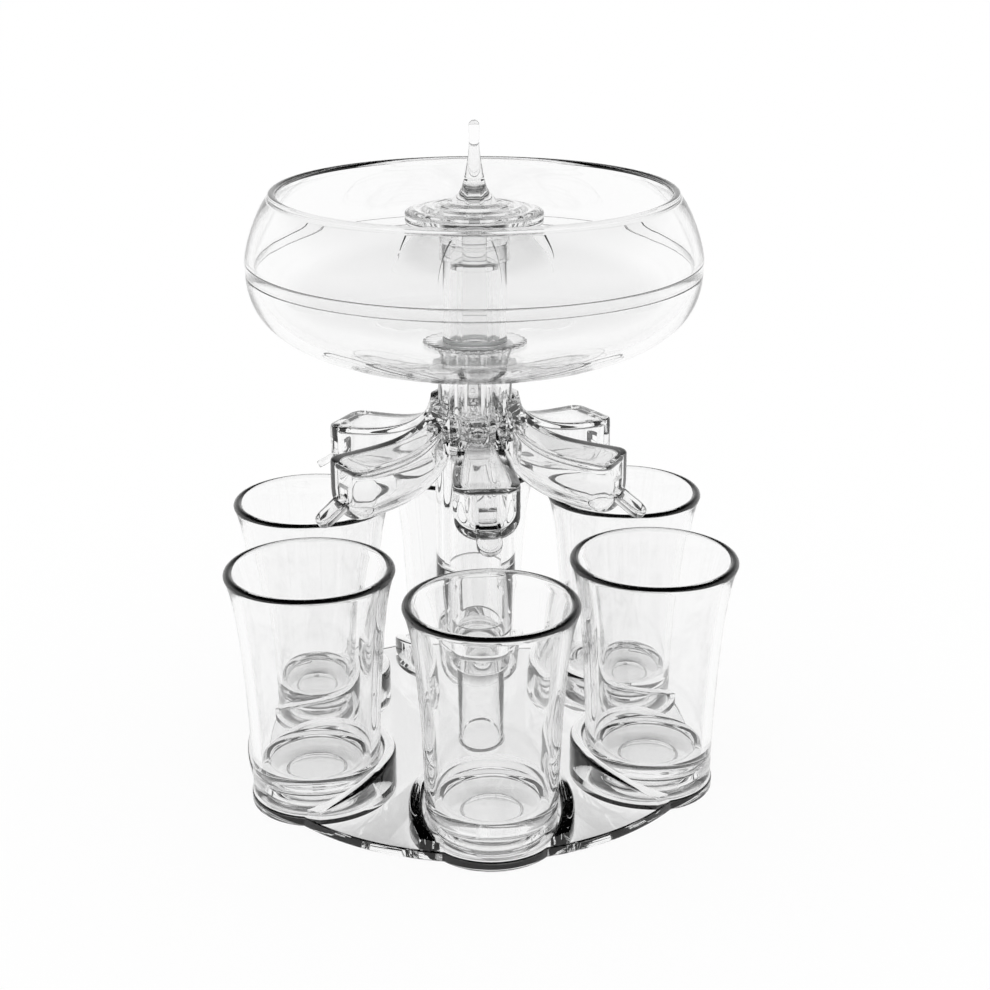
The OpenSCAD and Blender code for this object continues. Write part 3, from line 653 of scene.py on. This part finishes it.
class DISPENSER_OT_bowl(bpy.types.Operator):
    """The bowl's two halves, lapped together just under the widest place"""
    bl_idname = "dispenser.bowl"
    bl_label = "Bowl"
    low_power = 2.78  # 2 would be an ellipse: more makes the lower half fuller
    high_power = 1.37  # less than 2 makes the upper half flatter
    sump = 1.3  # how much the floor sinks towards the middle
    sump_flat = 16.0  # radius of the level middle of the floor
    sump_fade = 22  # width of the ring over which the floor sinks

    def low_side(self, b, wall, count=40):
        """Points of the lower half's side, from its level floor up to the waist."""
        radius, waist, power = b.radius / MM, b.waist / MM, 2 / self.low_power
        depth = waist - b.base / MM - self.sump
        points = [(self.sump_flat, b.base / MM + wall)]
        for i in [0.14] + [0.17 + 0.83 * k for k in steps(count)]:
            r = (radius - wall) * math.sin(math.pi / 2 * i) ** power
            fade = max(0.0, min(1.0, (r - self.sump_flat) / self.sump_fade))
            sink = self.sump * (1 + math.cos(math.pi * fade)) / 2
            points.append((r, waist - sink - (depth - wall) * max(0.0, math.cos(math.pi / 2 * i)) ** power))
        return points

    def high_radius(self, b, z, wall):
        """Radius of the upper half's side at a height, drawn in by the wall's thickness."""
        share = max(0.0, (z - b.waist / MM) / ((b.rim - b.waist) / MM))
        swell = max(0.0, 1 - share ** self.high_power) ** (1 / self.high_power)
        bulge = (b.radius - b.rim_radius) / MM * swell
        return b.rim_radius / MM - wall + bulge

    def execute(self, context):
        b, p = context.scene.dispenser_bowl, context.scene.dispenser_post
        wall, waist, rim = b.wall / MM, b.waist / MM, b.rim / MM
        lap_top, lap_low, middle = waist - 0.45, waist - 0.45 - b.lap / MM, b.radius / MM - wall / 2
        hole = p.neck / MM + WIDE
        outside = [q for q in self.low_side(b, 0) if q[1] < lap_low - 0.3]
        inside = [q for q in self.low_side(b, wall) if q[1] < lap_top - 0.3]
        outer_at_lap, inner_at_top = self.low_side(b, 0)[-1][0] - 0.06, self.low_side(b, wall)[-1][0]
        joint = [(outer_at_lap, lap_low), (middle, lap_low), (middle, lap_top), (inner_at_top, lap_top)]
        outline = [(hole, b.base / MM)] + outside + joint + inside[::-1] + [(hole, b.base / MM + wall)]
        corner = len(outside) + 1
        bm = turned(outline, {corner: 0.15, corner + 2: 0.2, corner + 3: 0.2}, BOWL_ROUND)
        piece = finish_mesh(bm, "bowl_lower_half")
        dress(piece, "dispenser", "clear_body", acrylic(), "bowl_lower")

        lip = wall / 2
        heights = [waist + (rim - lip - waist) * k for k in steps(24)]
        outer_side = [(self.high_radius(b, z, 0), z) for z in heights]
        inner_side = [(self.high_radius(b, z, wall), z) for z in heights]
        rolled = lip_round(outer_side[-1][0] - lip, rim - lip, lip)
        skirt_low, skirt_top = lap_low + AIR, lap_top + AIR
        outline = ([(middle + CLOSE, skirt_low), (outer_at_lap + AIR, skirt_low)] + outer_side + rolled
                   + inner_side[::-1] + [(inner_at_top, skirt_top), (middle + CLOSE, skirt_top)])
        bm = turned(outline, {0: 0.15, 1: 0.15, len(outline) - 2: 0.2}, BOWL_ROUND)
        piece = finish_mesh(bm, "bowl_upper_half")
        dress(piece, "dispenser", "clear_body", acrylic(), "bowl_upper")
        return {"FINISHED"}


class DISPENSER_OT_riser(bpy.types.Operator):
    """Guide tube, valve seal, riser tube and valve rod"""
    bl_idname = "dispenser.riser"
    bl_label = "Riser"

    def execute(self, context):
        f, b, p = context.scene.dispenser_fountain, context.scene.dispenser_bowl, context.scene.dispenser_post
        bore, riser, top = f.bore / MM, f.riser / MM, f.riser_top / MM
        seal = (b.base + b.wall + b.nut_thick) / MM + AIR
        seat = seal + f.seal / MM - AIR
        chamber, foot = p.chamber / MM - WIDE, p.chamber_floor / MM + AIR
        rod_top = top + (f.collar_high + f.petal_wall) / MM + SUNK
        hole, tube = 3.5, 5  # bore and outside radius of the guide tube
        flange, flange_low, flange_top = bore - SLIDING, 145.8, 147.2  # it guides the riser from within
        seal_in, seal_out = bore + WIDE, riser + 0.3
        pieces = (
            ("guide_tube_flanged", "dispenser", "clear_fountain", acrylic(), "guide_tube",
             [(hole, foot), (chamber, foot), (chamber, foot + 0.5), (tube, foot + 2.4), (tube, flange_low),
              (flange, flange_low), (flange, flange_top), (hole, flange_top)],
             {0: 0.2, 3: 0.8, 4: 0.5, 5: 0.3, 6: 0.3, 7: 0.3}),
            ("valve_seal_ring", "valve", "silicone", silicone(), "valve_seal",
             [(seal_in, seal), (seal_out, seal), (seal_out, seat), (seal_in, seat)],
             {0: 0.2, 1: 0.4, 2: 0.4, 3: 0.2}),
            ("riser_tube_clear", "valve", "clear_fountain", acrylic(), "riser_tube",
             [(bore, seat + AIR), (riser, seat + AIR), (riser, top), (bore, top)],
             {0: 0.2, 1: 0.3, 2: 0.1, 3: 0.1}),
            ("valve_rod_clear", "valve", "clear_fountain", acrylic(), "valve_rod",
             [(0, ROD_LOW), (ROD, ROD_LOW), (ROD, rod_top), (0, rod_top)], {1: 0.4, 2: 0.2}),
        )
        for name, body, slot, material, cad, outline, rounds in pieces:
            piece = finish_mesh(turned(outline, rounds, FINE_ROUND), name)
            dress(piece, body, slot, material, cad)
        return {"FINISHED"}


class DISPENSER_OT_canopy(bpy.types.Operator):
    """The collar and the four thin petals over the riser"""
    bl_idname = "dispenser.canopy"
    bl_label = "Collar and petals"
    skirt_side = 9.6  # outside radius of the collar's skirt
    plug = 1.6  # how deep the collar reaches into the riser
    petals = 4
    petal_span = 48  # angle that a petal covers, in degrees
    petal_turn = 37.5  # angle of the first petal's middle, in degrees
    petal_bend = 90 * 0.93  # the petal's side follows this much of a round arc, in degrees
    petal_inset = 0.12  # keeps the petals' roots within the ring's height

    def execute(self, context):
        f = context.scene.dispenser_fountain
        bore, riser, top = f.bore / MM, f.riser / MM, f.riser_top / MM
        collar, skirt_side, inner = f.collar / MM, self.skirt_side, ROD_HOLE
        high, reach, wall = top + f.collar_high / MM, f.petal / MM, f.petal_wall / MM
        flare = [(skirt_side + (collar - skirt_side) * (1 - math.cos(math.pi / 2 * k)),
                  top + (high - top) * math.sin(math.pi / 2 * k)) for k in steps(8)]
        skirt, plug_low, over = top - f.skirt / MM, top - self.plug, top + AIR
        plug, sleeve = bore - CLOSE, riser + CLOSE
        outline = ([(inner, plug_low), (plug, plug_low), (plug, over), (sleeve, over), (sleeve, skirt),
                    (skirt_side, skirt)] + flare + [(inner, high)])
        bm = turned(outline, {1: 0.3, 4: 0.2, 5: 0.3, len(outline) - 2: 0.15}, FINE_ROUND)
        piece = finish_mesh(bm, "petal_collar")
        dress(piece, "valve", "clear_fountain", acrylic(), "collar")

        start, bend, inset = collar - 1, math.radians(self.petal_bend), self.petal_inset
        fall = f.petal_fall / MM
        curve = [(start + (reach - start) * math.sin(bend * k) / math.sin(bend),
                  high + inset - fall * (1 - math.cos(bend * k)) / (1 - math.cos(bend))) for k in steps(28)]
        outline = curve + [(r, z + wall - 2 * inset) for r, z in curve[::-1]]
        petals = []
        for side in range(self.petals):
            angle = math.radians(self.petal_span)
            middle = math.radians(self.petal_turn + 360 / self.petals * side)
            petals.append(turned(outline, None, EDGE_ROUND, angle, middle - angle / 2))
        ring_low, ring_top = high + AIR, high + wall
        ring = turned([(inner, ring_low), (collar, ring_low), (collar, ring_top), (inner, ring_top)],
                      {2: 0.3}, EDGE_ROUND)
        piece = finish_mesh(combined(ring, petals, "UNION", "canopy_whole"), "four_petals")
        dress(piece, "valve", "clear_fountain", acrylic(), "petal_canopy")
        return {"FINISHED"}


class DISPENSER_OT_ripple(bpy.types.Operator):
    """The ripple disc and its drop, as where a drop has just struck water"""
    bl_idname = "dispenser.ripple"
    bl_label = "Ripple disc and drop"
    boss, boss_foot = 8.3, 10.2  # radii of the boss under the disc, at its seat and at the disc
    groove = 0.25  # half the width of the groove round the disc's edge
    groove_deep = 0.4
    drop = 1.42  # radius of the drop
    stem_foot = 2.9  # radius of the stem at its foot

    def execute(self, context):
        f = context.scene.dispenser_fountain
        low, edge, top = f.disc_low / MM, f.disc / MM, (f.disc_low + f.disc_edge) / MM
        seat = (f.riser_top + f.collar_high + f.petal_wall) / MM
        rod_top = seat + SUNK
        shank, groove = rod_top + 2, (low + top) / 2
        cone, cone_low, cone_top = f.cone / MM, f.cone_low / MM, f.cone_top / MM
        inner = edge - 0.6  # the ripples begin a little inside the edge
        waves = [(inner + (cone + 0.15 - inner) * k, top + (cone_low - 0.4 - top) * k
                  + f.ripple / MM * (1 - math.cos(math.tau * f.ripples * k)) / 2) for k in steps(96)]
        rise = [(CONE_TIP + (cone - CONE_TIP) * (1 - k) ** 1.78, cone_low + (cone_top - cone_low) * k)
                for k in steps(24)]
        over_rod, over_seat = rod_top + AIR, seat + AIR
        under = [(0, over_rod), (ROD_HOLE, over_rod), (ROD_HOLE, over_seat), (self.boss, over_seat),
                 (self.boss_foot, low), (edge, low)]
        side = [(edge, groove - self.groove), (edge - self.groove_deep, groove), (edge, groove + self.groove),
                (edge, top)]
        hole = [(SHANK_HOLE, cone_top), (SHANK_HOLE, shank), (0, shank)]
        outline = under + side + waves[1:] + rise + hole
        bm = turned(outline, {3: 0.3, 4: 0.4, 5: 0.5, 9: 0.5}, ROUND)
        piece = finish_mesh(bm, "ripple_disc_clear")
        dress(piece, "valve", "clear_fountain", acrylic(), "ripple_disc")

        drop, head = self.drop, f.drop_top / MM
        neck, slim = head - 3.9 * drop, 0.95 * drop
        foot = cone_top + AIR
        stem = [(slim + (self.stem_foot - slim) * (1 - k) ** 1.5, foot + (neck - foot) * k)
                for k in steps(20)]
        turns = [math.pi / 2 * k for k in steps(12)]
        dome = [(drop * math.cos(turn), head - drop + drop * math.sin(turn)) for turn in turns]
        dome[-1] = (0.0, head)
        outline = [(0, shank + AIR), (SHANK, shank + AIR), (SHANK, foot)] + stem + dome
        piece = finish_mesh(turned(outline, {1: 0.2}, FINE_ROUND), "drop_stem")
        dress(piece, "valve", "clear_fountain", acrylic(), "drop_finial")
        return {"FINISHED"}


class DISPENSER_OT_cups(bpy.types.Operator):
    """Six thick-based cups that flare at the rim"""
    bl_idname = "dispenser.cups"
    bl_label = "Cups"

    def execute(self, context):
        c, t = context.scene.dispenser_cup, context.scene.dispenser_tray
        high, foot, rim, wall, floor = c.height / MM, c.foot / MM, c.rim / MM, c.wall / MM, c.floor / MM

        def out(k):
            """Outside radius at a share of the height: a slow flare, and a quick one at the rim."""
            return foot + (rim - foot) * (0.72 * k ** 2 + 0.28 * k ** 12)

        lip = wall / 2
        # a fine groove runs round the side, 6.7 mm up
        side = [(out(k) - (0.35 * math.exp(-((k * high - 6.7) / 0.5) ** 2)), k * (high - lip))
                for k in [0.012] + [0.02 + 0.98 * q for q in steps(70)]]
        rolled = lip_round(rim - lip, high - lip, lip)
        inner = [(out(k) - wall, k * (high - lip)) for k in [0.16 + 0.84 * q for q in steps(50)]]
        flat = foot - 1.35 * wall
        turns = [math.pi / 2 * k for k in steps(8)]
        hollow = [(flat - 3 + 3 * math.sin(turn), floor + 3 * (1 - math.cos(turn))) for turn in turns]
        punt, punt_deep = c.punt / MM, 1.6
        outline = ([(0, punt_deep), (punt, punt_deep), (punt, 0), (foot - 0.1, 0)] + side + rolled
                   + inner[::-1] + [q for q in hollow if q[1] < inner[0][1] - 0.2][::-1] + [(0, floor)])
        shell = turned(outline, {1: 0.8, 2: 0.4, 3: 0.5}, ROUND)
        for i in range(CUPS):
            place = turn_of(i) @ Matrix.Translation((c.circle, 0, t.thick + 0.02 * MM))
            piece = finish_mesh(shell.copy(), f"shot_cup_{i + 1}", place)
            dress(piece, f"cup_{i + 1}_body", "clear_cup", styrene(), f"cup_{i + 1}")
        shell.free()
        return {"FINISHED"}


class DISPENSER_OT_stage(bpy.types.Operator):
    """Camera, white ground and a white studio with a dark ceiling"""
    bl_idname = "dispenser.stage"
    bl_label = "Stage"

    def execute(self, context):
        scene = context.scene
        # place and lens fitted to the photo's cup rims, cup feet and bowl
        lens = bpy.data.cameras.new("photo_camera")
        lens.sensor_width, lens.lens = 36.0, 63.16
        lens.clip_start, lens.clip_end = 0.01, 50
        camera = bpy.data.objects.new("photo_camera", lens)
        camera.location = (-34.88 * MM, -468.85 * MM, 250.82 * MM)
        camera.rotation_euler = (math.radians(90 - 20.02), 0, math.radians(-4.94))
        scene.collection.objects.link(camera)
        scene.camera = camera

        bm = bmesh.new()
        bmesh.ops.create_circle(bm, cap_ends=True, segments=128, radius=6)
        # A little under the tray: two faces in one plane would stop light from passing through the plate
        bmesh.ops.translate(bm, verts=bm.verts, vec=(0, 0, -0.1 * MM))
        ground = finish_mesh(bm, "ground")
        material = bpy.data.materials.new("Paper sweep white")
        material.use_nodes = True
        tree = material.node_tree
        tree.nodes.clear()
        # Paper lit from behind the set: white to the eye and through the plastic, with a faint shadow
        white = linear(scene.dispenser_finish.ground)
        paper = node(tree, "ShaderNodeBsdfDiffuse", {"Color": white})
        glow = node(tree, "ShaderNodeEmission", {"Color": white, "Strength": 1.0})
        path = node(tree, "ShaderNodeLightPath")
        share = node(tree, "ShaderNodeMath", {"operation": "MULTIPLY"})
        tree.links.new(either(tree, path, "Camera", "Glossy", "Transmission"), share.inputs[0])
        share.inputs[1].default_value = 0.9
        mixed(tree, share.outputs[0], paper, glow)
        ground.data.materials.append(material)

        # The room is white to the eye. Rays that the plastic bends upwards meet dark walls and a dark
        # ceiling, which is what draws the edges of clear plastic as grey lines
        world = bpy.data.worlds.new("studio")
        scene.world = world
        world.use_nodes = True
        tree = world.node_tree
        tree.nodes.clear()
        coordinates = node(tree, "ShaderNodeTexCoord")
        split = node(tree, "ShaderNodeSeparateXYZ", None, Vector=coordinates.outputs["Generated"])
        ramp = node(tree, "ShaderNodeValToRGB", None, Fac=split.outputs["Z"])
        white, dark = ramp.color_ramp.elements
        white.position, white.color = 0.22, (1, 1, 1, 1)
        dark.position, dark.color = 0.60, (0.02, 0.02, 0.02, 1)
        light = node(tree, "ShaderNodeLightPath")
        mix = node(tree, "ShaderNodeMix", {"data_type": "RGBA"})
        tree.links.new(either(tree, light, "Glossy", "Transmission"), mix.inputs[0])
        mix.inputs[6].default_value = (1, 1, 1, 1)
        tree.links.new(ramp.outputs["Color"], mix.inputs[7])
        sky = node(tree, "ShaderNodeBackground", {"Strength": 1.0}, Color=mix.outputs[2])
        node(tree, "ShaderNodeOutputWorld", None, Surface=sky.outputs[0])

        scene.view_settings.view_transform = "Standard"
        scene.cycles.max_bounces = 28
        scene.cycles.transmission_bounces = 28
        scene.cycles.transparent_max_bounces = 32
        scene.cycles.glossy_bounces = 6
        return {"FINISHED"}


OPERATORS = (
    DISPENSER_OT_stage, DISPENSER_OT_tray, DISPENSER_OT_post, DISPENSER_OT_hub, DISPENSER_OT_spouts,
    DISPENSER_OT_clamp, DISPENSER_OT_bowl, DISPENSER_OT_riser, DISPENSER_OT_canopy, DISPENSER_OT_ripple,
    DISPENSER_OT_cups,
)


class DISPENSER_PT_pieces(bpy.types.Panel):
    """Lists the dispenser's pieces and sizes"""
    bl_idname = "DISPENSER_PT_pieces"
    bl_label = "Party shot dispenser"
    bl_space_type = "VIEW_3D"
    bl_region_type = "UI"
    bl_category = "Dispenser"

    def draw(self, context):
        for operator in OPERATORS:
            self.layout.operator(operator.bl_idname)
        for key, group in GROUPS.items():
            box = self.layout.box()
            box.label(text=key.replace("_", " ").capitalize())
            for name in group.__annotations__:
                box.prop(getattr(context.scene, key), name)


CLASSES = tuple(GROUPS.values()) + OPERATORS + (DISPENSER_PT_pieces,)


def register():
    for cls in CLASSES:
        bpy.utils.register_class(cls)
    for key, group in GROUPS.items():
        setattr(bpy.types.Scene, key, PointerProperty(type=group))


def unregister():
    for key in GROUPS:
        delattr(bpy.types.Scene, key)
    for cls in reversed(CLASSES):
        bpy.utils.unregister_class(cls)


def main():
    register()
    for operator in OPERATORS:
        family, name = operator.bl_idname.split(".")
        getattr(getattr(bpy.ops, family), name)()


if __name__ == "__main__":
    main()
